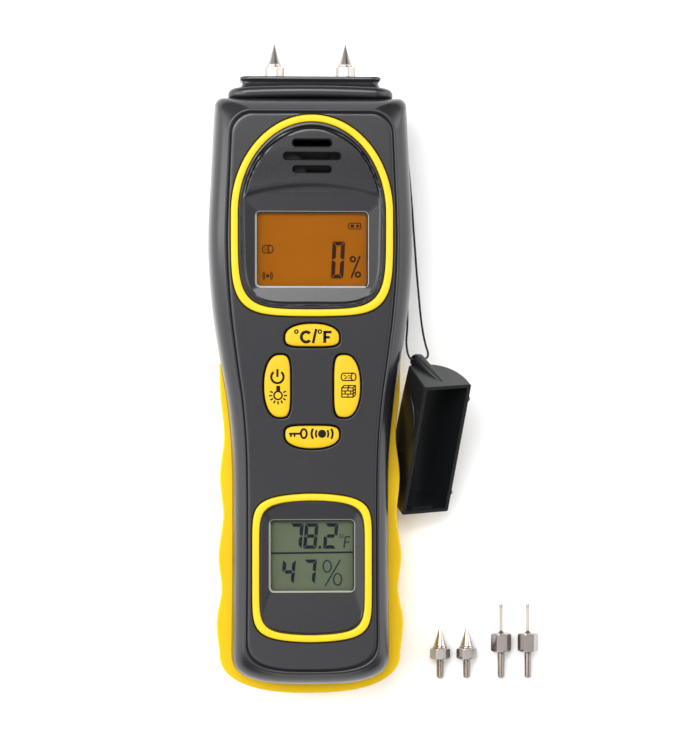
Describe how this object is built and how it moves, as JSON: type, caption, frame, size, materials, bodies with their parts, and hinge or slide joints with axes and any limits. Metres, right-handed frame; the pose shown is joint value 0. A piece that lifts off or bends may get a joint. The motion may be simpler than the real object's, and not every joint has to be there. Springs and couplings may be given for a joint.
{
  "type": "pin moisture meter",
  "caption": "Handheld pin moisture meter with two displays, cross of yellow keys, rubber boot, tethered pin cap and spare pins.",
  "frame": {"origin": "centre of the flat back that the meter lies on, halfway along the housing and midway between its sides", "axes": "+Z out of the display face, +Y towards the contact pins, +X to the right as the displays are read"},
  "size_m": [0.1089, 0.2101, 0.0377],
  "materials": {
    "case_plastic": "satin charcoal moulded plastic",
    "boot_rubber": "yellow soft rubber",
    "trim_yellow": "yellow satin-gloss moulded plastic",
    "key_rubber": "yellow moulded silicone, black symbols",
    "window_clear": "clear window",
    "amber_display": "display glass, amber backlight",
    "green_display": "display glass, grey-green",
    "light_guide": "milky light guide",
    "strip_rubber": "pale silicone",
    "board": "green circuit board",
    "black_plastic": "black moulded plastic",
    "cap_plastic": "black moulded plastic",
    "capacitor_sleeve": "printed sleeve",
    "nickel": "nickel-plated metal",
    "sensor_white": "white moulded plastic",
    "carbon": "carbon-filled rubber",
    "brass": "turned brass",
    "wire_red": "wire insulation",
    "battery_skin": "painted steel can",
    "foam": "closed-cell foam",
    "cord": "braided black cord"
  },
  "bodies": {
    "housing": {"front_case": "case_plastic", "rear_case": "case_plastic", "rubber_boot": "boot_rubber", "nose_block": "case_plastic", "upper_trim_ring": "trim_yellow", "upper_bezel": "case_plastic", "upper_window": "window_clear", "upper_lcd": "amber_display", "upper_backlight": "light_guide", "upper_contact_strips": "strip_rubber", "lower_trim_ring": "trim_yellow", "lower_bezel": "case_plastic", "lower_window": "window_clear", "lower_lcd": "green_display", "lower_contact_strips": "strip_rubber", "main_board": "board", "controller_chip": "black_plastic", "measuring_chip": "black_plastic", "board_capacitors": "capacitor_sleeve", "clock_crystal": "nickel", "buzzer": "black_plastic", "humidity_sensor": "sensor_white", "keypad_mat": "strip_rubber", "pin_sockets": "brass", "pin_leads": "wire_red", "battery": "battery_skin", "battery_snap": "black_plastic", "battery_leads": "wire_red", "battery_foam": "foam", "case_screws": "nickel", "board_screws": "nickel", "lanyard_bar": "nickel"},
    "key_units": {"key_units": "key_rubber", "key_units_pill": "carbon"},
    "key_power": {"key_power": "key_rubber", "key_power_pill": "carbon"},
    "key_mode": {"key_mode": "key_rubber", "key_mode_pill": "carbon"},
    "key_hold": {"key_hold": "key_rubber", "key_hold_pill": "carbon"},
    "contact_pin_left": {"contact_pin_left": "nickel"},
    "contact_pin_right": {"contact_pin_right": "nickel"},
    "battery_door": {"battery_door": "case_plastic"},
    "lanyard": {"lanyard": "cord"},
    "pin_cap": {"pin_cap": "cap_plastic"},
    "spare_cone_pin_1": {"spare_cone_pin_1": "nickel"},
    "spare_cone_pin_2": {"spare_cone_pin_2": "nickel"},
    "spare_needle_pin_1": {"spare_needle_pin_1": "nickel"},
    "spare_needle_pin_2": {"spare_needle_pin_2": "nickel"}
  },
  "joints": [
    {"name": "key_units_press", "type": "slide", "parent": "housing", "child": "key_units", "axis": [0, 0, -1], "range_m": [0, 0.0007], "stiffness_N_per_m": 900, "springref_m": -0.0005},
    {"name": "key_power_press", "type": "slide", "parent": "housing", "child": "key_power", "axis": [0, 0, -1], "range_m": [0, 0.0007], "stiffness_N_per_m": 900, "springref_m": -0.0005},
    {"name": "key_mode_press", "type": "slide", "parent": "housing", "child": "key_mode", "axis": [0, 0, -1], "range_m": [0, 0.0007], "stiffness_N_per_m": 900, "springref_m": -0.0005},
    {"name": "key_hold_press", "type": "slide", "parent": "housing", "child": "key_hold", "axis": [0, 0, -1], "range_m": [0, 0.0007], "stiffness_N_per_m": 900, "springref_m": -0.0005},
    {"name": "contact_pin_left_remove", "type": "slide", "parent": "housing", "child": "contact_pin_left", "axis": [0, 1, 0], "range_m": [0, 0.009]},
    {"name": "contact_pin_right_remove", "type": "slide", "parent": "housing", "child": "contact_pin_right", "axis": [0, 1, 0], "range_m": [0, 0.009]},
    {"name": "battery_door_slide", "type": "slide", "parent": "housing", "child": "battery_door", "axis": [0, -1, 0], "range_m": [0, 0.058]},
    {"name": "lanyard_swing", "type": "hinge", "parent": "housing", "child": "lanyard", "pos_m": [0.0294, 0.0756, 0.0115], "axis": [0, 0, 1], "range_deg": [0, 60]},
    {"name": "pin_cap_lift", "type": "hinge", "parent": "lanyard", "child": "pin_cap", "pos_m": [0.03486, 0.00861, 0.02451], "axis": [-0.9466, -0.0579, 0.3173], "range_deg": [0, 50]},
    {"name": "spare_cone_pin_1_lift", "type": "slide", "parent": "housing", "child": "spare_cone_pin_1", "axis": [0, 0, 1], "range_m": [0, 0.04]},
    {"name": "spare_cone_pin_2_lift", "type": "slide", "parent": "housing", "child": "spare_cone_pin_2", "axis": [0, 0, 1], "range_m": [0, 0.04]},
    {"name": "spare_needle_pin_1_lift", "type": "slide", "parent": "housing", "child": "spare_needle_pin_1", "axis": [0, 0, 1], "range_m": [0, 0.04]},
    {"name": "spare_needle_pin_2_lift", "type": "slide", "parent": "housing", "child": "spare_needle_pin_2", "axis": [0, 0, 1], "range_m": [0, 0.04]}
  ]
}
